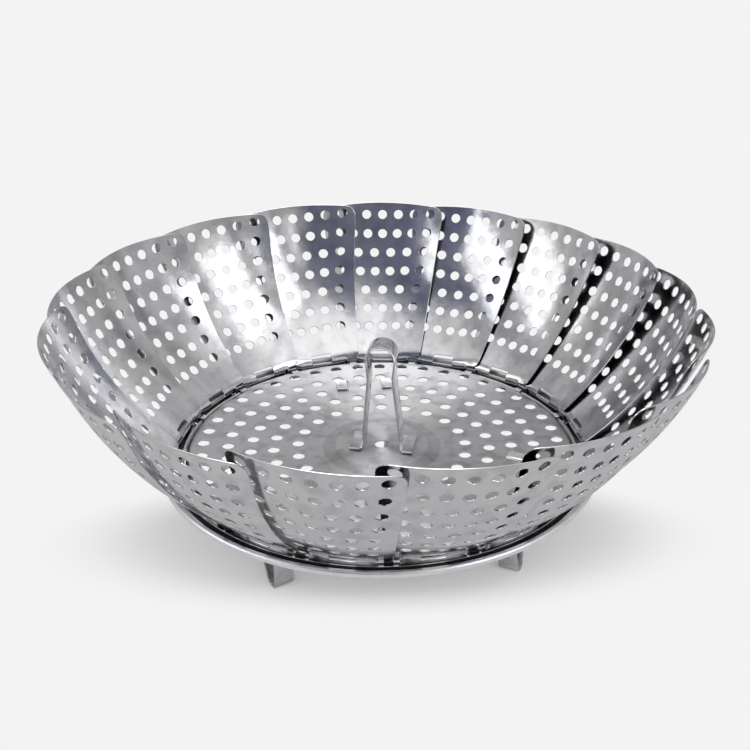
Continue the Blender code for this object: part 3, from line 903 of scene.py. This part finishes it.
@dataclass
class Petals:
    """The perforated petals, all cut and bent alike.

    Each is cut flat and then bent. Across it the coordinate is u, along it s,
    counted from the hinge's own level at the outer side of the wire.
    """

    sheet: float = 0.5 * MM
    chamfer: float = 0.1 * MM
    hook_radius: float = 1.8 * MM
    hook_turn: float = math.radians(135.0)
    neck_half_width: float = 12.3 * MM
    neck_rise: float = 1.0 * MM
    neck_bend: float = 4.0 * MM
    blade_slope: float = math.radians(39.6)
    bow_radius: float = 140.6 * MM
    blade_length: float = 74.8 * MM
    foot: float = 2.9 * MM
    foot_half_width: float = 17.9 * MM
    half_width: float = 28.5 * MM
    shoulder: float = 70.0 * MM
    hook_corner: float = 0.3 * MM
    neck_corner: float = 0.8 * MM
    foot_corner: float = 2.5 * MM
    shoulder_corner: float = 30.0 * MM
    rim_corner: float = 4.5 * MM
    corner_steps: int = 6
    rim_arc: float = 127.0 * MM
    rim_steps: int = 20
    edge_step: float = 1.4 * MM
    lean_at_hinge: float = 0.04
    lean_at_rim: float = 0.08
    crown_at_hinge: float = 94.0 * MM
    crown_at_rim: float = 67.0 * MM
    lift_start: float = 8.0 * MM
    lift_radius: float = 280.0 * MM
    slot_width: float = 9.6 * MM
    slot_start: float = 1.7 * MM
    slot_length: float = 4.2 * MM
    slot_corner: float = 0.5 * MM
    hole_radius: float = 2.15 * MM
    hole_steps: int = 24
    row_counts: tuple[int, ...] = (5, 5, 5, 6, 6, 7, 7)
    first_row: float = 18.9 * MM
    row_pitch: float = 9.18 * MM
    first_row_half_span: float = 12.9 * MM
    last_row_half_span: float = 23.1 * MM
    lattice: float = 2.0 * MM
    finish: SteelFinish = PETAL_FINISH

    @property
    def length(self) -> float:
        """The length from the hinge's level to the middle of the rim."""
        return self.neck_rise + self.neck_bend + self.blade_length

    def middle_line(self, s: Array) -> tuple[Array, Array, Array]:
        """The petal's middle line, from its hinge.

        Below zero it is an arc round the wire. Then it rises straight up, bends
        outward on an arc to the blade's slope, and follows the blade's long bow.

        Args:
            s: Distance along it.

        Returns:
            How far out, how far up and the direction, for each s.
        """
        slope = self.blade_slope
        start = self.neck_rise + self.neck_bend
        bend_radius = self.neck_bend / (math.pi / 2 - slope)
        curl = np.minimum(s, 0.0) / self.hook_radius
        bend = np.clip(s - self.neck_rise, 0.0, self.neck_bend) / bend_radius
        bow = slope + np.maximum(s - start, 0.0) / self.bow_radius
        out = self.hook_radius * np.cos(curl) + bend_radius * (1 - np.cos(bend))
        out = out + self.bow_radius * (np.sin(bow) - math.sin(slope))
        up = self.hook_radius * np.sin(curl) + np.clip(s, 0.0, self.neck_rise)
        up = up + bend_radius * np.sin(bend) + self.bow_radius * (math.cos(slope) - np.cos(bow))
        direction = np.where(s > start, bow, math.pi / 2 - bend)
        return out, up, np.where(s < 0.0, math.pi / 2 + curl, direction)

    def stand_off(self, u: Array, s: Array) -> Array:
        """How far the surface stands inward of its middle line.

        It is a crown u squared / (2 radius), less a lean times u, and a lift at
        the edge that lies inside the next petal. All grow from hinge to rim.

        Args:
            u: Distance across.
            s: Distance along.

        Returns:
            The stand-off.
        """
        share = s / self.length
        lean = self.lean_at_hinge + (self.lean_at_rim - self.lean_at_hinge) * share
        crown = (1 - share) / self.crown_at_hinge + share / self.crown_at_rim
        lifted = np.maximum(0.0, -u - self.lift_start)
        fade = np.clip(s / self.foot, 0.0, 1.0)
        fade = fade * fade * (3 - 2 * fade)
        lift = share * lifted**2 / (2 * self.lift_radius)
        return fade * (u * u * crown / 2 - lean * u + lift)

    def bend(self, u: Array, s: Array) -> Array:
        """Bend the flat sheet: out along X, across along Y and up along Z.

        Args:
            u: Distance across.
            s: Distance along.

        Returns:
            The bent points, from the hinge.
        """
        out, up, direction = self.middle_line(s)
        off = self.stand_off(u, s)
        return np.stack([out - off * np.sin(direction), u, up + off * np.cos(direction)], axis=1)

    def rim_line(self, u: float) -> float:
        """How far along the petal its rim is, at a distance across."""
        return self.length - u * u / (2 * self.rim_arc)

    def outline(self) -> Array:
        """The outer loop: hook, neck, shoulders and the gently arched rim.

        Returns:
            The loop's points, anticlockwise.
        """
        tip = -self.hook_radius * self.hook_turn
        neck = self.neck_half_width
        top = self.rim_line(self.half_width)
        half = [(neck, tip), (neck, self.foot), (self.foot_half_width, self.foot),
                (self.half_width, self.shoulder), (self.half_width, top)]
        radii = [self.hook_corner, self.neck_corner, self.foot_corner, self.shoulder_corner,
                 self.rim_corner]
        # The two outer points at each end would fall into the rounded corners.
        arch = np.linspace(self.half_width, -self.half_width, self.rim_steps + 1)[2:-2]
        rim = [(float(u), self.rim_line(float(u))) for u in arch]
        corners = half + rim + [(-u, s) for u, s in reversed(half)]
        all_radii = radii + [0.0] * len(rim) + radii[::-1]
        return divided(rounded(corners, all_radii, self.corner_steps, True), self.edge_step, True)

    def holes(self) -> list[Array]:
        """The slot at the neck and the rows of round steam holes.

        Returns:
            One loop for each.
        """
        half, end = self.slot_width / 2, self.slot_start + self.slot_length
        slot = rounded_box((-half, self.slot_start), (half, end), self.slot_corner)
        loops = [divided(slot, EDGE_STEP, True)]
        for row, count in enumerate(self.row_counts):
            share = row / (len(self.row_counts) - 1)
            span = self.first_row_half_span * (1 - share) + self.last_row_half_span * share
            s = self.first_row + self.row_pitch * row
            for u in np.linspace(-span, span, count):
                loops.append(circle(self.hole_radius, self.hole_steps, (float(u), s)))
        return loops

    def build(self) -> None:
        """Cut one blank, bend it and set it on every petal's hinge."""
        blank = cut_blank(self.outline(), self.holes(), self.lattice)
        bent = sheet_solid(blank, self.bend, self.sheet, self.chamfer)
        for number, (petal, hinge, direction) in enumerate(petal_hinges()):
            points = turn_about_z(bent.points, direction) + hinge
            pattern = bent.pattern + np.array([SHEET_STRIDE * number, 0.0])
            placed = Surface(points, bent.faces, pattern)
            add_piece(petal + "_sheet", placed, self.finish, petal, petal)


@dataclass
class BasePlate:
    """The dished perforated plate, its rim, its wire clips and the hinge wire."""

    height: float = 47.0 * MM
    sheet: float = 0.6 * MM
    chamfer: float = 0.12 * MM
    edge_radius: float = 77.6 * MM
    roll_out: float = 2.6 * MM
    roll_drop: float = 2.0 * MM
    dish: float = 1.2 * MM
    hub_flat: float = 18.7 * MM
    hub_foot: float = 25.0 * MM
    bend_softness: float = 0.7 * MM
    centre_hole: float = 3.0 * MM
    centre_steps: int = 36
    hole_radius: float = 2.45 * MM
    hole_steps: int = 22
    ring_radii: tuple[float, ...] = (35.0 * MM, 44.7 * MM, 54.0 * MM, 63.5 * MM, 73.8 * MM)
    ring_counts: tuple[int, ...] = (21, 27, 33, 40, 45)
    ring_turns: tuple[float, ...] = (4.0, -3.0, -0.7, 0.0, 2.2)
    tab_reach: float = 7.4 * MM
    lattice: float = 2.2 * MM
    outline_steps: int = 270
    rim_radius: float = 90.3 * MM
    bead_width: float = 2.5 * MM
    bead_height: float = 2.5 * MM
    bead_drop: float = 0.4 * MM
    bead_bottom: float = 0.5 * MM
    bead_side: float = 0.6 * MM
    bead_top: float = 0.4 * MM
    lip_radius: float = 84.95 * MM
    lip_drop: float = 1.1 * MM
    rim_sheet: float = 0.6 * MM
    groove_drop: float = 2.7 * MM
    rim_radii_mm: tuple[float, ...] = (0.25, 0.4, 0.5, 0.5, 0.6, 0.6, 0.5, 0.4, 0.3, 0.2, 0.25)
    ring_steps: int = 240
    hinge_radius: float = 81.6 * MM
    hinge_drop: float = 2.3 * MM
    wire_radius: float = 0.8 * MM
    wire_steps: int = 16
    wire_clearance: float = 0.32 * MM
    clip_width: float = 3.4 * MM
    clip_sheet: float = 0.5 * MM
    clip_chamfer: float = 0.15 * MM
    clip_corner: float = 0.3 * MM
    clip_lattice: float = 0.9 * MM
    clip_radii_mm: tuple[float, ...] = (0.5, 0.5, 0.0, 0.0, 0.2, 0.5, 0.5)
    plate_finish: SteelFinish = PLATE_FINISH
    rim_finish: SteelFinish = RIM_FINISH
    clip_finish: SteelFinish = CLIP_FINISH
    wire_finish: SteelFinish = WIRE_FINISH
    slits: list[Array] = field(default_factory=list)
    tab_middles: list[Pair] = field(default_factory=list)

    @property
    def hinge_height(self) -> float:
        """The height of the hinge wire."""
        return self.height - self.hinge_drop

    def surface(self, x: Array, y: Array) -> Array:
        """The plate's middle surface over a point of the floor.

        The height is a chain of straight slopes by radius, softened where they
        meet, and past the edge radius it drops as the square of the distance.

        Args:
            x: Distance right.
            y: Distance back.

        Returns:
            The points on the plate.
        """
        radius = np.hypot(x, y)
        hub_slope = -self.dish / (self.hub_foot - self.hub_flat)
        dish_slope = self.dish / (self.edge_radius - self.hub_foot)
        soft = self.bend_softness

        def ramp(start: float) -> Array:
            """A slope of one that starts softly at a radius."""
            return soft * np.logaddexp(0.0, (radius - start) / soft)

        z = self.height + hub_slope * ramp(self.hub_flat)
        z = z + (dish_slope - hub_slope) * ramp(self.hub_foot)
        past = np.maximum(0.0, radius - self.edge_radius) / self.roll_out
        z = z - dish_slope * past * self.roll_out - self.roll_drop * past**2
        return np.stack([x, y, z], axis=1)

    def perforations(self) -> list[Array]:
        """Five rings of round holes, less those that a leg's tab covers.

        Returns:
            One loop for each hole.
        """
        loops = []
        for radius, count, turn in zip(self.ring_radii, self.ring_counts, self.ring_turns):
            for angle in math.radians(turn) + np.arange(count) * (math.tau / count):
                centre = (radius * math.cos(angle), radius * math.sin(angle))
                if all(math.dist(centre, middle) > self.tab_reach for middle in self.tab_middles):
                    loops.append(circle(self.hole_radius, self.hole_steps, centre))
        return loops

    def build_plate(self) -> None:
        """Cut, perforate and press the plate."""
        outline = circle(self.edge_radius + self.roll_out, self.outline_steps)
        centre = circle(self.centre_hole, self.centre_steps)
        blank = cut_blank(outline, [centre, *self.slits, *self.perforations()], self.lattice)
        plate = sheet_solid(blank, self.surface, self.sheet, self.chamfer)
        add_piece("plate_sheet", plate, self.plate_finish, "base_plate")

    def rim_section(self) -> Array:
        """The rim's section: a low lip, a groove and a rolled bead.

        Returns:
            Its points (radius, height), anticlockwise.
        """
        top = self.height - self.bead_drop
        bottom = top - self.bead_height
        groove = self.height - self.groove_drop
        lip_top = self.height - self.lip_drop
        outer, inner = self.rim_radius, self.rim_radius - self.bead_width
        lip, wall, side = self.lip_radius, self.rim_sheet, self.bead_side
        corners = [(lip, lip_top), (lip, groove - wall), (inner, groove - wall),
                   (outer - self.bead_bottom, bottom), (outer, bottom + side),
                   (outer, top - side), (outer - side, top), (inner + self.bead_top, top),
                   (inner, groove), (lip + wall, groove), (lip + wall, lip_top)]
        return rounded(corners, [r * MM for r in self.rim_radii_mm], BEND_STEPS, True)

    def clip_sections(self) -> tuple[Array, Array]:
        """A clip's outline and the square hole that the wire runs through.

        Returns:
            Both loops, as (radius, height).
        """
        hinge, middle, wall = self.hinge_height, self.hinge_radius, self.clip_sheet
        room = self.wire_radius + self.wire_clearance
        left, right = middle - room - wall, middle + room + wall
        top, bottom = hinge + room + wall, hinge - room - wall
        end, strap = self.lip_radius + self.rim_sheet / 2, self.height - self.groove_drop
        outline = [(left, bottom), (right, bottom), (end, strap - self.rim_sheet),
                   (end, strap), (right, strap), (right, top), (left, top)]
        hole = rounded_box((middle - room, hinge - room), (middle + room, hinge + room),
                           self.clip_corner)
        return rounded(outline, [r * MM for r in self.clip_radii_mm], BOX_STEPS, True), hole

    def build_rim(self) -> None:
        """Spin the rim."""
        ring = revolved(self.rim_section(), self.ring_steps)
        add_piece("rim_bead", ring, self.rim_finish, "base_plate")

    def build_clips(self) -> None:
        """Stand a clip on the rim halfway between each two hinges."""
        outline, hole = self.clip_sections()
        blank = cut_blank(outline, [hole], self.clip_lattice)

        def stand(r: Array, z: Array) -> Array:
            """Stand the flat clip up: radius along X, height along Z."""
            return np.stack([r, np.zeros_like(r), z], axis=1)

        clip = sheet_solid(blank, stand, self.clip_width, self.clip_chamfer)
        turns = sorted(direction % math.tau for _, _, direction in petal_hinges())
        middles = [(a + b) / 2 for a, b in zip(turns, [*turns[1:], turns[0] + math.tau])]
        clips = turned_copies(clip, middles)
        add_piece("wire_clips", clips, self.clip_finish, "base_plate")

    def build_wire(self) -> None:
        """Spin the hinge wire."""
        section = circle(self.wire_radius, self.wire_steps, (self.hinge_radius, self.hinge_height))
        wire = revolved(section, self.ring_steps)
        add_piece("hinge_wire_ring", wire, self.wire_finish, "hinge_wire")


@dataclass
class LiftingLoop:
    """The strip bent like a hairpin that stands on the hub."""

    seat: float = 47.3 * MM
    gap: float = 0.3 * MM
    sheet: float = 0.8 * MM
    edge: float = 0.2 * MM
    width: float = 9.6 * MM
    height: float = 46.0 * MM
    direction: float = math.radians(-10.0)
    arch_radius: float = 5.8 * MM
    arch_steps: int = 24
    pinch: float = 5.0 * MM
    pinch_below_top: float = 14.5 * MM
    pinch_radius: float = 16.0 * MM
    foot_spread: float = 8.7 * MM
    foot_length: float = 4.9 * MM
    foot_width: float = 14.4 * MM
    foot_height: float = 3.0 * MM
    flare: float = 0.8 * MM
    left_leg_in: float = 1.1 * MM
    bend_radius: float = 1.1 * MM
    bend_steps: int = 8
    step: float = 2.0 * MM
    finish: SteelFinish = LOOP_FINISH

    def path(self) -> Array:
        """The strip's middle line in its own plane: foot, leg, arch, leg, foot.

        Returns:
            Its points (along, up).
        """
        foot = self.seat + self.gap + self.sheet / 2
        top = self.seat + self.height
        arch = top - self.arch_radius
        pinch = top - self.pinch_below_top
        right = [(self.foot_spread + self.foot_length, foot), (self.foot_spread, foot),
                 (self.pinch, pinch), (self.arch_radius, arch)]
        radii = [0.0, self.bend_radius, self.pinch_radius, 0.0]
        leg = divided(rounded(right, radii, self.bend_steps, False), self.step, False)
        angle = np.linspace(0.0, math.pi, self.arch_steps + 1)
        bow = np.stack([np.cos(angle), np.sin(angle)], axis=1) * self.arch_radius
        mirrored = leg[::-1] * np.array([-1.0, 1.0])
        share = np.clip((pinch - mirrored[:, 1]) / (pinch - foot), 0.0, 1.0)
        mirrored[:, 0] += self.left_leg_in * share
        return np.vstack([leg[:-1], bow + np.array([0.0, arch]), mirrored[1:]])

    def build(self) -> None:
        """Bend the strip, wider at its feet, and turn it the way the loop faces."""
        path = self.path()
        spread = np.where(path[:, 0] > 0.0, self.foot_spread,
                          self.foot_spread - self.left_leg_in)
        out = np.abs(path[:, 0]) - spread
        share = np.clip(out / self.flare + 0.5, 0.0, 1.0)
        share = np.where(path[:, 1] < self.seat + self.foot_height, share, 0.0)
        halves = self.width / 2 + (self.foot_width - self.width) / 2 * share
        strip = strip_along(path, halves, self.sheet, self.edge)
        strip.points = turn_about_z(strip.points, self.direction)
        add_piece("lifting_loop_strip", strip, self.finish, "lifting_loop")


@dataclass
class Legs:
    """The three legs, each a strip bent to a V and clinched over the plate."""

    count: int = 3
    first: float = math.radians(95.0)
    radius: float = 55.4 * MM
    sheet: float = 0.8 * MM
    edge: float = 0.2 * MM
    width: float = 8.8 * MM
    half_spread: float = 10.2 * MM
    straight: float = 6.0 * MM
    toe_half_width: float = 2.8 * MM
    toe_rise: float = 2.2 * MM
    tab: float = 5.0 * MM
    tab_gap: float = 0.3 * MM
    lean: float = 3.6 * MM
    slit_gap: float = 0.35 * MM
    slit_corner: float = 0.3 * MM
    radii_mm: tuple[float, ...] = (0.0, 0.7, 6.0, 1.5, 0.9)
    step: float = 3.0 * MM
    finish: SteelFinish = LEG_FINISH

    def angles(self) -> list[float]:
        """The direction of each leg from the middle."""
        return [self.first + math.tau * i / self.count for i in range(self.count)]

    def slits(self) -> list[Array]:
        """The slits in the plate that the strips pass through.

        Returns:
            One loop for each slit.
        """
        long = self.width / 2 + self.slit_gap
        wide = self.sheet / 2 + self.slit_gap
        loops = []
        for angle in self.angles():
            for middle in (-self.half_spread, self.half_spread):
                slit = rounded_box((self.radius - long, middle - wide),
                                   (self.radius + long, middle + wide), self.slit_corner)
                loop = divided(slit, EDGE_STEP, True)
                flat = np.column_stack([loop, np.zeros(len(loop))])
                loops.append(turn_about_z(flat, angle)[:, :2])
        return loops

    def tab_middles(self) -> list[Pair]:
        """The middle of each slit, where the tabs lie beside it."""
        return [tuple(loop.mean(axis=0)) for loop in self.slits()]

    def build(self, plate: BasePlate) -> None:
        """Bend the three strips: half of the V, its mirror image, and a lean to +X.

        Args:
            plate: The plate that they are clinched over.
        """
        seat = plate.surface(np.array([self.radius]), np.array([0.0]))[0, 2]
        tab = seat + plate.sheet / 2 + self.tab_gap + self.sheet / 2
        bend, toe = tab - self.straight, self.sheet / 2
        half = [(self.half_spread, tab), (self.half_spread, bend),
                (self.toe_half_width, toe + self.toe_rise), (self.toe_half_width / 2, toe)]
        corners = [(-self.half_spread + self.tab, tab), *[(-u, z) for u, z in half],
                   *half[::-1], (self.half_spread + self.tab, tab)]
        radii = [r * MM for r in (*self.radii_mm, *self.radii_mm[::-1])]
        path = divided(rounded(corners, radii, BEND_STEPS, False), self.step, False)
        strip = strip_along(path, np.full(len(path), self.width / 2), self.sheet, self.edge)
        upright = turn_about_z(strip.points, math.pi / 2) + np.array([self.radius, 0.0, 0.0])
        for i, angle in enumerate(self.angles()):
            points = turn_about_z(upright, angle)
            share = np.clip((bend - points[:, 2]) / (bend - toe), 0.0, 1.0)
            points[:, 0] += self.lean * share
            placed = Surface(points, strip.faces, strip.pattern)
            name = f"leg_{i + 1}"
            add_piece(name + "_strip", placed, self.finish, name)


@dataclass(frozen=True)
class Glow:
    """A rectangle of light or shade in the room, as the steel sees it.

    Attributes:
        azimuth: The direction of its middle, in degrees from +X.
        elevation: The height of its middle, in degrees.
        half_width: Half its width, in degrees.
        half_height: Half its height, in degrees.
        softness: How far its edge fades, in degrees.
        level: The light it sends.
        tint: The colour of that light.
    """

    azimuth: float
    elevation: float
    half_width: float
    half_height: float
    softness: float
    level: float
    tint: Colour = (1.0, 1.0, 1.0)

    def over(self, nodes: Nodes, room: Feed) -> Socket:
        """Lay the glow over the room.

        A direction is in the glow where its slope to the side and its slope up,
        both against the glow's own middle, are under the tangents of its sizes.

        Args:
            nodes: The room's nodes.
            room: The room so far.

        Returns:
            The room with the glow.
        """
        turn, lift = math.radians(self.azimuth), math.radians(self.elevation)
        side = Vector((-math.sin(turn), math.cos(turn), 0.0))
        middle = Vector((math.cos(turn), math.sin(turn), 0.0)) * math.cos(lift)
        middle.z = math.sin(lift)
        seen = nodes.place["Generated"]
        ahead = nodes.vector("DOT_PRODUCT", seen, middle)
        cover = nodes.math("GREATER_THAN", ahead, 0.0)
        for axis, half in ((side, self.half_width), (middle.cross(side), self.half_height)):
            aside = nodes.vector("DOT_PRODUCT", seen, axis)
            slope = nodes.math("ABSOLUTE", nodes.math("DIVIDE", aside, ahead))
            fade = [math.tan(math.radians(half + sign * self.softness / 2)) for sign in (1, -1)]
            cover = nodes.math("MULTIPLY", cover, nodes.ranged(slope, fade, smooth=True))
        return nodes.mix(cover, room, (*[self.level * share for share in self.tint], 1.0))


@dataclass
class Studio:
    """The pale floor, the soft light and the camera of the photograph."""

    floor_side: float = 12.0
    floor_colour: float = 0.896
    floor_roughness: float = 0.9
    # painted shade: the steel mirrors a darker floor than the camera sees
    mirrored_floor_shade: float = 0.62
    shadow_size: Pair = (112.0 * MM, 43.0 * MM)
    shadow_fade: Pair = (0.82, 1.35)
    # The light of the room, each after the sine of the height where it is so.
    room_levels: tuple[Pair, ...] = (
        (0.0, 0.45), (0.20, 0.42), (0.74, 0.42), (0.85, 0.90), (0.93, 1.15))
    # Azimuth, elevation, half width, half height, softness, level and tint.
    glows: tuple[Glow, ...] = (
        Glow(-112.0, 34.0, 36.0, 22.0, 14.0, 0.10, (0.85, 0.90, 1.50)),
        Glow(-30.0, 40.0, 14.5, 13.5, 3.0, 1.95),
        Glow(-165.0, 30.0, 24.0, 9.0, 4.0, 1.8),
        Glow(-62.0, 33.0, 3.0, 9.0, 4.0, 1.1),
        Glow(-6.0, 41.0, 8.0, 6.0, 6.0, 0.7),
        Glow(93.0, 66.0, 10.0, 12.0, 10.0, 3.0),
    )
    mirror_gain: float = 1.15
    clutter: Noise = Noise(5.0, 5.0)
    clutter_range: Pair = (0.35, 0.65)
    clutter_levels: Pair = (0.6, 1.25)
    room_light: float = 0.5
    soft_box: Glow = Glow(-90.0, 42.0, 78.0, 13.0, 6.0, 3.85)
    slots_height: float = 48.5 * MM
    sensor_mm: float = 36.0
    focal_px: float = 1151.0
    nearest: float = 10.0 * MM
    distance: float = 478.6 * MM
    elevation: float = math.radians(29.57)
    roll: float = math.radians(1.46)
    azimuth: float = math.radians(3.97)
    aside: float = -24.41 * MM
    centre_x_px: float = 440.7
    centre_y_px: float = 442.7

    def build_floor(self) -> None:
        """Lay the pale floor, and let the camera see it evenly white farther out.

        The lit floor blends into a plain one of the same colour as the distance
        from the middle grows, for camera rays only.
        """
        half = self.floor_side / 2
        corners = [(-half, -half, 0.0), (half, -half, 0.0), (half, half, 0.0), (-half, half, 0.0)]
        mesh = bpy.data.meshes.new("floor")
        mesh.from_pydata(corners, [], [(0, 1, 2, 3)])
        material = bpy.data.materials.new("floor paint")
        material.use_nodes = True
        mesh.materials.append(material)
        nodes, own = Nodes(material.node_tree), material.node_tree.nodes
        squeeze = [1.0 / size for size in self.shadow_size]
        away = nodes.vector("LENGTH", nodes.mapped(nodes.place["Object"], (*squeeze, 0.0)))
        far = nodes.ranged(away, self.shadow_fade, smooth=True)
        ray = nodes.add("LightPath", {}).outputs
        pale = grey(self.floor_colour)
        # painted shade: glossy rays see the floor darker than its own colour
        paint = nodes.mix(ray["Is Glossy Ray"], pale, grey(self.mirrored_floor_shade))
        lit = nodes.feed(own["Principled BSDF"], {
            "Base Color": paint, "Roughness": self.floor_roughness, "Specular IOR Level": 0.0})
        plain = nodes.add("Emission", {"Color": pale})
        blend = nodes.add("MixShader", {
            "Fac": nodes.math("MULTIPLY", far, ray["Is Camera Ray"]),
            1: lit.outputs["BSDF"], 2: plain.outputs["Emission"]})
        nodes.feed(own["Material Output"], {"Surface": blend.outputs["Shader"]})
        floor = bpy.data.objects.new("floor", mesh)
        bpy.context.scene.collection.objects.link(floor)

    def build_world(self) -> None:
        """Light everything from an even white room, and show the steel a studio.

        Diffuse surfaces get one plain level from all sides and a soft box. Mirror
        rays see the room by height, with each glow laid over it in turn, and a
        little clutter. The camera sees the floor's colour up to the horizon.
        """
        world = bpy.data.worlds.new("studio room")
        bpy.context.scene.world = world
        world.use_nodes = True
        nodes = Nodes(world.node_tree)
        seen = nodes.place["Generated"]
        stops = [(height, (level, level, level)) for height, level in self.room_levels]
        room = nodes.ramp(nodes.split(seen, "Z"), stops)
        for glow in self.glows:
            room = glow.over(nodes, room)
        clutter = nodes.noise(seen, self.clutter)
        clutter = nodes.ranged(clutter, self.clutter_range, self.clutter_levels)
        light = self.soft_box.over(nodes, grey(self.room_light))
        ray = nodes.add("LightPath", {}).outputs
        shown = nodes.mix(ray["Is Glossy Ray"], light, nodes.scaled(room, clutter))
        shown = nodes.mix(ray["Is Camera Ray"], shown, grey(self.floor_colour))
        gain = nodes.math("MULTIPLY_ADD", ray["Is Glossy Ray"], self.mirror_gain - 1.0, 1.0)
        nodes.feed(world.node_tree.nodes["Background"], {"Color": shown, "Strength": gain})

    def build_camera(self) -> None:
        """Set the camera that the photograph's numbers give.

        The basket is turned by the azimuth and moved aside in the camera's
        frame, the camera stands back along its view, and the picture is rolled.
        """
        cos, sin = math.cos(self.elevation), math.sin(self.elevation)
        turn = Matrix.Rotation(-self.azimuth, 3, "Z")
        back = Vector((0.0, -cos, sin))
        right, up = turn @ Vector((1.0, 0.0, 0.0)), turn @ Vector((0.0, sin, cos))
        place = turn @ (back * self.distance - Vector((self.aside, 0.0, 0.0)))
        place.z += self.slots_height
        tilt_cos, tilt_sin = math.cos(self.roll), math.sin(self.roll)
        across = right * tilt_cos + up * tilt_sin
        upward = up * tilt_cos - right * tilt_sin
        axes = Matrix((across, upward, turn @ back)).transposed()
        lens = bpy.data.cameras.new("photograph")
        lens.sensor_width = self.sensor_mm
        lens.lens = self.focal_px / IMAGE_SIDE_PX * self.sensor_mm
        lens.shift_x = (IMAGE_SIDE_PX / 2 - self.centre_x_px) / IMAGE_SIDE_PX
        lens.shift_y = (self.centre_y_px - IMAGE_SIDE_PX / 2) / IMAGE_SIDE_PX
        lens.clip_start = self.nearest
        camera = bpy.data.objects.new("photograph", lens)
        camera.matrix_world = Matrix.Translation(place) @ axes.to_4x4()
        bpy.context.scene.collection.objects.link(camera)
        bpy.context.scene.camera = camera

    def build(self) -> None:
        """Build the studio."""
        bpy.context.scene.view_settings.view_transform = "Standard"
        self.build_floor()
        self.build_world()
        self.build_camera()


def main() -> None:
    """Build every piece, then the studio."""
    logging.basicConfig(level=logging.INFO, format="%(message)s")
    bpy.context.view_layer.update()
    legs = Legs()
    plate = BasePlate(slits=legs.slits(), tab_middles=legs.tab_middles())
    plate.build_plate()
    plate.build_rim()
    plate.build_clips()
    plate.build_wire()
    Petals().build()
    LiftingLoop().build()
    legs.build(plate)
    Studio().build()


if __name__ == "__main__":
    main()
